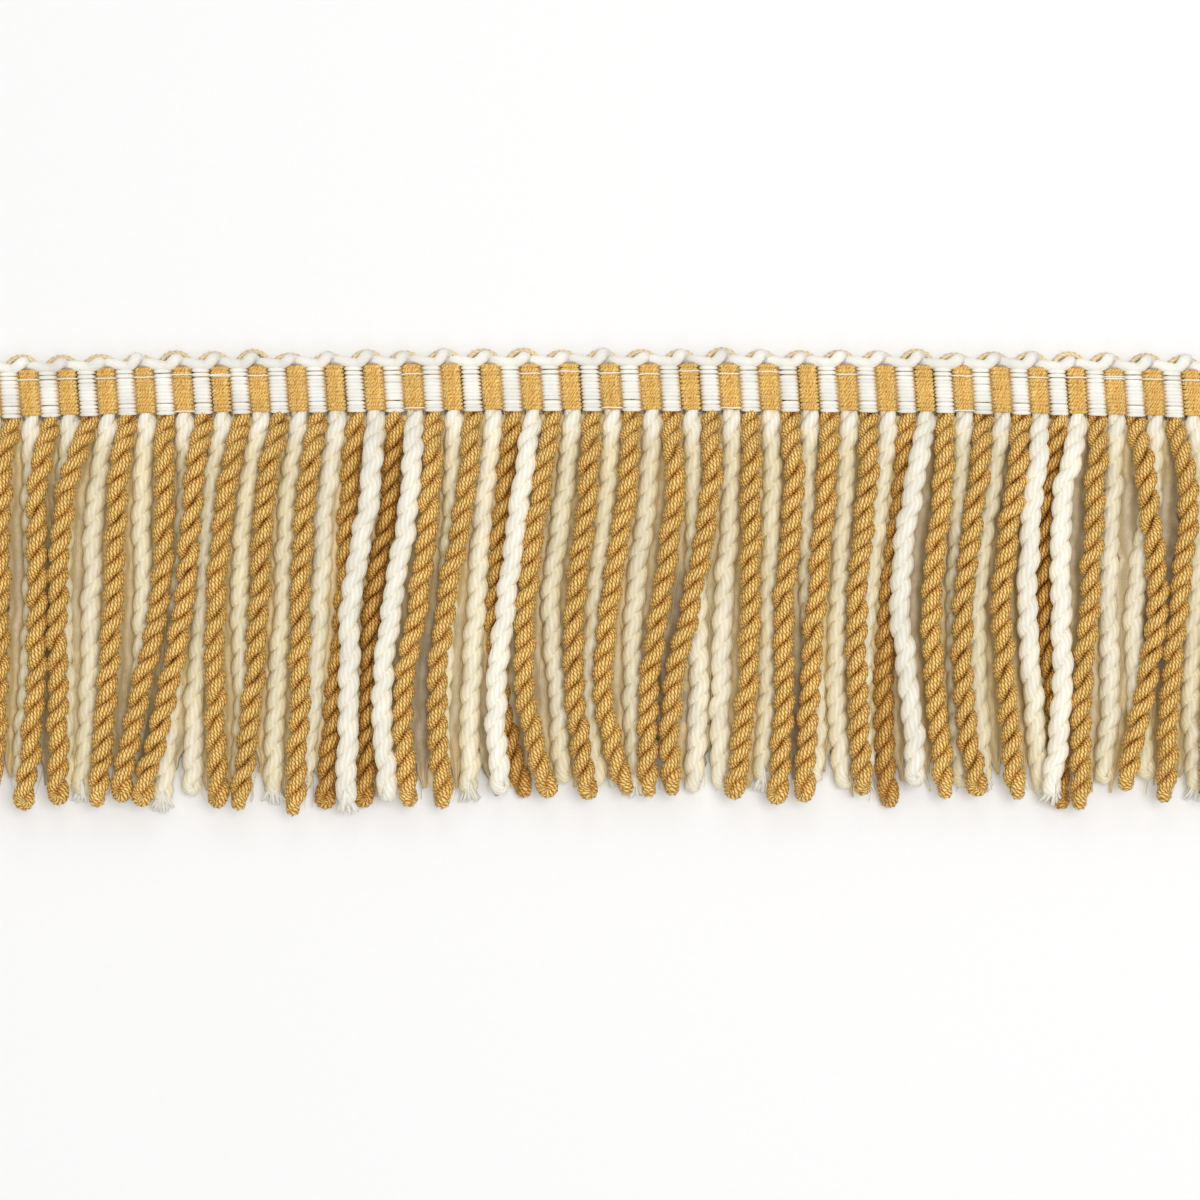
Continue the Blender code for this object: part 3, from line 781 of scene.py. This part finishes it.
def add_stitch(yarns, index, height, radius):
    """A thin thread that crosses one block on top of the warp.  With t from -1 to 1 along
    it, it dives at both sides by STITCH_DIVE |t|^5."""
    u = np.linspace(-STITCH_REACH, STITCH_REACH, STITCH_STATIONS)
    x = block_middle(index) + u * BLOCK
    y = foot_y(x) + height + waver(x, *STITCH_WAVE)
    z = CREST - STITCH_SUNK - STITCH_DIVE * np.abs(u / STITCH_REACH) ** 5
    path = np.stack([x - LEAN * height, y, z], axis=1)
    _, across, upward = frames_along(path)
    size = np.full(len(path), radius)
    yarns.add(*skin(path, upward, across, STITCH_FLAT * size, size, STITCH_STEP, per_strand=6),
              rng.uniform(-1, 1))


def make_warps(name, colour, over_first, shift, material):
    """The twelve warp threads of one colour.  With the cream ones go the thin stitches
    that cross some of the gold blocks."""
    yarns = Yarns()
    for height in lay_rows(ROWS_APART[colour]) + shift:
        broad = FLOAT_BROAD[colour] * rng.uniform(*WARP_SIZES)
        add_warp(yarns, height, over_first, FLOAT_THICK[colour], broad, FLOAT_EDGE[colour],
                 rng.uniform(-1, 1))
    if over_first:
        for index in range(1, BLOCKS, 2):
            for height, share in zip(STITCH["heights"], STITCH["shares"]):
                if rng.uniform() < share:
                    add_stitch(yarns, index, height + rng.normal(0, STITCH["stray"]), STITCH["radius"])
    return yarns.write(name, material)


def boxed(rings):
    """The skin through rings of points with sharp corners, as points, triangles and map.
    The map's second number is the length along the first corner's line."""
    stations, around, _ = rings.shape
    number = np.arange(stations * around).reshape(stations, around)
    turned = np.roll(number, -1, axis=1)
    cells = np.stack([number[:-1], turned[:-1], turned[1:], number[1:]], axis=-1)
    ends = np.stack([number[0, ::-1], number[-1]])
    faces = np.concatenate([halved(cells.reshape(-1, 4)), halved(ends)])
    length = np.repeat(run_length(rings[:, 0]), around)
    return rings.reshape(-1, 3), faces, np.stack([np.zeros(faces.shape), length[faces]], axis=-1), 0.0


def make_ground(material):
    """The weft inside the heading: a thin sheet, closed all round, that swells to a rib
    in each block.  Its half thickness is the first number of GROUND_HALF and, times
    (1 - |2u|^5), the second."""
    flat_x = np.linspace(-HALF_LENGTH, HALF_LENGTH, BLOCKS * GROUND_STATIONS + 1)
    u = np.mod((flat_x + HALF_LENGTH) / BLOCK, 1.0) - 0.5
    half = GROUND_HALF[0] + GROUND_HALF[1] * block_wave(u)
    x = drifted(flat_x)
    low, high = GROUND_INSET[0], HEADING_HEIGHT - GROUND_INSET[1]
    corners = [(low, -1), (high, -1), (high, 1), (low, 1)]
    rings = np.stack([np.stack([x - LEAN * y, foot_y(x) + y, THREAD_MIDDLE + way * half], axis=1)
                      for y, way in corners], axis=1)
    yarns = Yarns()
    yarns.add(*boxed(rings), 0.0)
    return yarns.write("heading_ground", material)


def frames_along(path):
    """For a path that lies nearly flat: its direction, the level direction across it and
    the third one at right angles to both."""
    along = unit(np.gradient(path, axis=0))
    across = unit(np.cross(np.broadcast_to(Z_AXIS, along.shape), along))
    return along, across, np.cross(along, across)


def make_edging(name, loop, make, material):
    """A looped edging yarn: one curved yarn for each pair of blocks, which starts and
    ends inside the heading."""
    yarns = Yarns()
    for pair in range(PAIRS):
        shape = smooth_through(np.linspace(0, 1, len(loop)), loop, np.linspace(0, 1, EDGE_STATIONS))
        path, radius = shape[:, :3].copy(), shape[:, 3] * rng.uniform(*EDGE_SIZES)
        lift = smooth_step(path[:, 1:2] / EDGE_RISE)
        path[:, :2] += lift * rng.normal(0, make["stray"], 2)
        path[:, 1:2] *= 1.0 + lift * rng.normal(0, 1.2 * make["stray"])
        origin_x = block_middle(2 * pair)
        path += (origin_x - LEAN * HEADING_HEIGHT, foot_y(origin_x) + HEADING_HEIGHT, 0.0)
        keep = np.abs(path[:, 0]) < HALF_LENGTH + EDGE_PAST
        path, radius = path[keep], radius[keep]
        if len(path) < EDGE_LEAST:
            continue
        _, across, upward = frames_along(path)
        yarns.add(*skin(path, across, upward, radius, radius, make["row"], make["strands"],
                        EDGE_POINTS, make["ridge"], make["slant"], make["rows"]), rng.uniform(-1, 1))
    return yarns.write(name, material)


class Finish:
    """A material built node by node round one Principled shader."""

    def __init__(self, name):
        self.material = bpy.data.materials.new(name)
        self.material.use_nodes = True
        self.nodes = self.material.node_tree.nodes
        self.links = self.material.node_tree.links
        self.shader = self.nodes["Principled BSDF"]

    def feed(self, node, inputs):
        """Link an output to each socket named, or set the socket's own value."""
        for key, value in inputs.items():
            if isinstance(value, bpy.types.NodeSocket):
                self.links.new(value, node.inputs[key])
            else:
                node.inputs[key].default_value = value

    def node(self, kind, inputs, **settings):
        """The outputs of a new node."""
        made = self.nodes.new(kind)
        for key, value in settings.items():
            setattr(made, key, value)
        self.feed(made, inputs)
        return made.outputs

    def math(self, operation, first, second=0.0):
        """One arithmetic step."""
        return self.node("ShaderNodeMath", {0: first, 1: second}, operation=operation)[0]

    def wave(self, value):
        """0.5 + 0.5 cos(2 pi value)."""
        turned = self.math("MULTIPLY", value, TURN)
        return self.math("ADD", self.math("MULTIPLY", self.math("COSINE", turned), 0.5), 0.5)

    def mix(self, factor, first, second, blend="MIX"):
        """Two colours mixed."""
        return self.node("ShaderNodeMix", {0: factor, 6: first, 7: second},
                         data_type="RGBA", blend_type=blend)[2]

    def noise(self, vector, scale, detail=2.0, roughness=0.5):
        """Smooth noise from 0 to 1."""
        return self.node("ShaderNodeTexNoise", {"Vector": vector, "Scale": scale, "Detail": detail,
                                                "Roughness": roughness})["Fac"]

    def ramp(self, value, low, high, to_low=0.0, to_high=1.0):
        """Map a range of values to another, held at its ends."""
        return self.node("ShaderNodeMapRange", {"Value": value, "From Min": low, "From Max": high,
                                                "To Min": to_low, "To Max": to_high})["Result"]

    def bump(self, height, strength, distance):
        """Relief from a height in millimetres of distance."""
        made = self.node("ShaderNodeBump", {"Height": height, "Strength": strength,
                                            "Distance": distance * MM})
        self.feed(self.shader, {"Normal": made["Normal"]})

    def yarn_map(self):
        """The strand count round the yarn and the length along it, in millimetres."""
        return self.apart(self.node("ShaderNodeUVMap", {}, uv_map="yarn")["UV"])

    def apart(self, vector):
        """The first two numbers of a vector."""
        split = self.node("ShaderNodeSeparateXYZ", {0: vector})
        return split["X"], split["Y"]

    def place(self):
        """The object's own coordinates, in metres."""
        return self.node("ShaderNodeTexCoord", {})["Object"]

    def stored(self, name):
        """A number stored with the mesh's points."""
        return self.node("ShaderNodeAttribute", {}, attribute_name=name)["Fac"]

    def painted_light_mix(self, colour, part, painted_light_tint):
        """A colour that goes over to itself times the tint by that part: painted shade where the tint is
        below 1 and painted highlight where it is above.
        """
        return self.mix(part, colour, self.mix(1.0, colour, (*painted_light_tint, 1.0), "MULTIPLY"))

    def uneven(self, running, shift_noise, shift, fade_noise, fade):
        """A wave of a running number, shifted and faded from place to place by noise."""
        shifts = self.math("MULTIPLY", self.noise(self.place(), *shift_noise), shift)
        wave = self.wave(self.math("ADD", running, shifts))
        fades = self.ramp(self.noise(self.place(), *fade_noise), *NOISE_RANGE, *fade)
        return self.math("MULTIPLY", wave, fades)


def yarn_finish(name, crest, valley, bead, slope=1.0, painted_bead_contrast=0.0, hair=0.0, rough=0.9, sheen=0.0,
                gloss=0.2, glint=WHITE, painted_light_tint=WHITE, groove_painted_shade=WHITE, bright=0.85, stroke=None,
                relief=0.55):
    """Twisted yarn.

    Strands lie side by side round the yarn: the crest colour paints a highlight on their
    crests and the valley colour paints shade between them.  Each is itself two twisted
    ends, seen as slanting beads of the given length, lit by painted highlights.  Threads
    that lie close together show strokes instead, a bead apart, that run on from thread to
    thread at the stroke's angle to X, painted the same way.  Fine hairs run along the yarn,
    and its tone drifts slowly from place to place.  By its stored share of painted light its
    colour is multiplied by the tint, as painted shade or, above 1, painted highlight, and in
    a groove by the groove's colour, as painted shade."""
    f = Finish(name)
    strand, length = f.yarn_map()
    if stroke is None:
        painted_crest_light = f.wave(strand)
        aslant = f.math("ADD", f.math("DIVIDE", length, bead), f.math("MULTIPLY", strand, slope))
        beads = f.uneven(aslant, **BEADS)
    else:
        painted_crest_light = 1.0
        x, y = f.apart(f.place())
        aslant = f.math("SUBTRACT", f.math("MULTIPLY", x, np.sin(stroke) / (bead * MM)),
                        f.math("MULTIPLY", y, np.cos(stroke) / (bead * MM)))
        beads = f.uneven(aslant, **STROKES)
    stretched = f.node("ShaderNodeCombineXYZ", {0: f.math("MULTIPLY", strand, HAIR_SPREAD[0]),
                                                1: f.math("MULTIPLY", length, HAIR_SPREAD[1])})
    hairs = f.noise(stretched[0], *HAIR_NOISE)
    drift = f.noise(f.place(), *DRIFT_NOISE)
    # Painted highlights on the beads or strokes and on the strands' crests set the mix of crest and
    # valley colours.
    painted_bead_light = f.math("ADD", f.math("MULTIPLY", beads, painted_bead_contrast), 1.0 - painted_bead_contrast)
    light = f.math("MULTIPLY", painted_crest_light, painted_bead_light)
    light = f.math("ADD", light, f.math("MULTIPLY", f.math("SUBTRACT", hairs, 0.5), hair))
    colour = f.mix(f.ramp(light, 0.0, bright), (*valley, 1.0), (*crest, 1.0))
    own = f.math("ADD", f.math("MULTIPLY", f.stored("tone"), TONE), f.ramp(drift, *NOISE_RANGE, *DRIFT))
    level = f.node("ShaderNodeCombineColor", {0: own, 1: own, 2: own})
    colour = f.mix(1.0, colour, level[0], "MULTIPLY")
    # Painted shade, or on the gold warp painted highlight, by the stored share; then painted shade in
    # the grooves.
    colour = f.painted_light_mix(colour, f.stored("depth"), painted_light_tint)
    colour = f.painted_light_mix(colour, f.stored("groove"), groove_painted_shade)
    roughness = f.ramp(hairs, *NOISE_RANGE, *(rough + np.array(ROUGH_SPREAD)))
    f.feed(f.shader, {"Base Color": colour, "Roughness": roughness,
                      "Specular IOR Level": gloss, "Specular Tint": (*glint, 1.0),
                      "Sheen Weight": sheen, "Sheen Roughness": SHEEN_ROUGH})
    height = f.math("ADD", f.math("MULTIPLY", beads, RELIEF_SHARES[0]),
                    f.math("MULTIPLY", hairs, RELIEF_SHARES[1]))
    f.bump(height, relief, RELIEF_HEIGHT)
    return f.material


def ground_finish():
    """The weft inside the heading, which shows only between the threads, with painted shade:
    tan under the cream blocks, darker under the gold ones, where the cream weft is painted
    as if shaded, and darkest, as painted shade, between blocks."""
    f = Finish("weft_in_heading")
    _, length = f.yarn_map()
    pair = f.math("MULTIPLY", length, 0.5 / BLOCK)
    half = f.math("GREATER_THAN", f.math("FRACT", pair), 0.5)
    ribs = f.noise(f.place(), 2400.0, 2.0)
    under_cream = f.mix(ribs, (0.70, 0.42, 0.14, 1.0), (0.95, 0.66, 0.28, 1.0))
    under_gold = f.mix(ribs, (0.60, 0.36, 0.10, 1.0), (0.85, 0.58, 0.22, 1.0))
    colour = f.mix(half, under_cream, under_gold)
    # Painted shade where two blocks meet.
    painted_border_shade = f.ramp(f.wave(f.math("DIVIDE", length, BLOCK)), 0.75, 0.97)
    colour = f.mix(painted_border_shade, colour, (0.10, 0.045, 0.012, 1.0))
    f.feed(f.shader, {"Base Color": colour, "Roughness": 0.8})
    f.bump(ribs, 0.5, 0.1)
    return f.material


def floor_finish():
    """Plain pale paper with a faint grain."""
    f = Finish("pale_paper")
    grain = f.noise(f.place(), 900.0, 3.0)
    paper = f.mix(grain, (0.92, 0.92, 0.925, 1.0), (0.94, 0.94, 0.945, 1.0))
    f.feed(f.shader, {"Base Color": paper, "Roughness": 0.9, "Specular IOR Level": 0.2})
    return f.material


def make_stage():
    """A plain pale floor, three broad soft lights round the trim and an even sky."""
    floor = bpy.data.meshes.new("floor")
    corners = [(x * FLOOR_HALF, y * FLOOR_HALF, 0) for x, y in ((-1, -1), (1, -1), (1, 1), (-1, 1))]
    floor.from_pydata(corners, [], [(0, 1, 2, 3)])
    floor.materials.append(floor_finish())
    floor_object = bpy.data.objects.new("floor", floor)
    bpy.context.scene.collection.objects.link(floor_object)
    for name, place, size, power in LIGHTS:
        lamp = bpy.data.lights.new(name, "AREA")
        lamp.shape = "DISK"
        lamp.size = size
        lamp.energy = power
        lamp_object = bpy.data.objects.new(name, lamp)
        lamp_object.location = place
        lamp_object.rotation_euler = (-Vector(place)).to_track_quat("-Z", "Y").to_euler()
        bpy.context.scene.collection.objects.link(lamp_object)
    world = bpy.data.worlds.new("sky")
    world.use_nodes = True
    background = world.node_tree.nodes["Background"]
    background.inputs["Color"].default_value = SKY_COLOUR
    background.inputs["Strength"].default_value = SKY
    bpy.context.scene.world = world
    bpy.context.scene.view_settings.view_transform = "Standard"


def make_camera():
    """Straight above the trim.  The view is as wide as VIEW_WIDTH at the cords' height."""
    camera = bpy.data.cameras.new("camera")
    camera.lens = LENS
    camera.sensor_width = SENSOR
    camera.clip_start = 0.01
    camera_object = bpy.data.objects.new("camera", camera)
    distance = VIEW_WIDTH * MM * LENS / SENSOR
    camera_object.location = (VIEW_CENTRE[0] * MM, VIEW_CENTRE[1] * MM, VIEW_HEIGHT * MM + distance)
    bpy.context.scene.collection.objects.link(camera_object)
    bpy.context.scene.camera = camera_object


def build():
    """Make the camera and the stage, then every yarn; hang each piece on the root body and hide the
    model's part that it stands for.
    """
    make_camera()
    make_stage()
    finish = {name: yarn_finish(name, **look) for name, look in FINISHES.items()}
    ground = make_ground(ground_finish())
    warps = [make_warps("warp_cream", "cream", True, 0.0, finish["cream_thread"]),
             make_warps("warp_gold", "gold", False, ROW / 2, finish["gold_warp"])]
    cream_edge = make_edging("edging_cream_yarn", CREAM_LOOP, CREAM_EDGE, finish["cream_edging"])
    gold_edge = make_edging("edging_gold_yarn", GOLD_LOOP, GOLD_EDGE, finish["gold_edging"])
    gold_cords = make_cords("gold", 0, finish["gold_viscose"])
    cream_cords = make_cords("cream", 1, finish["cream_cotton"])
    creams = range(1, BLOCKS, 2)
    loose = [
        make_yarns("wisps", finish["wisp"], add_wisp, range(BLOCKS - 1)),
        make_yarns("deep_fibres", finish["loose_fibre"], add_fibres, range(BLOCKS), **DEEP),
        make_yarns("cream_fluff", finish["loose_fibre"], add_fibres, creams, **FLUFF),
        make_yarns("cream_frays", finish["cream_fray"], add_fray, 2 * FRAYED_TIPS + 1, **FRAY),
    ]
    for pieces, node, slot in (
        ([ground, *warps], "heading_band", "heading_weave"),
        ([cream_edge], "edging_cream", "cream_yarn"),
        ([gold_edge], "edging_gold", "gold_yarn"),
        (gold_cords, "fringe_comb", "gold_yarn"),
        (cream_cords + loose, "fringe_comb", "cream_yarn"),
    ):
        for piece in pieces:
            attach(piece, "root")
            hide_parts(node)


build()
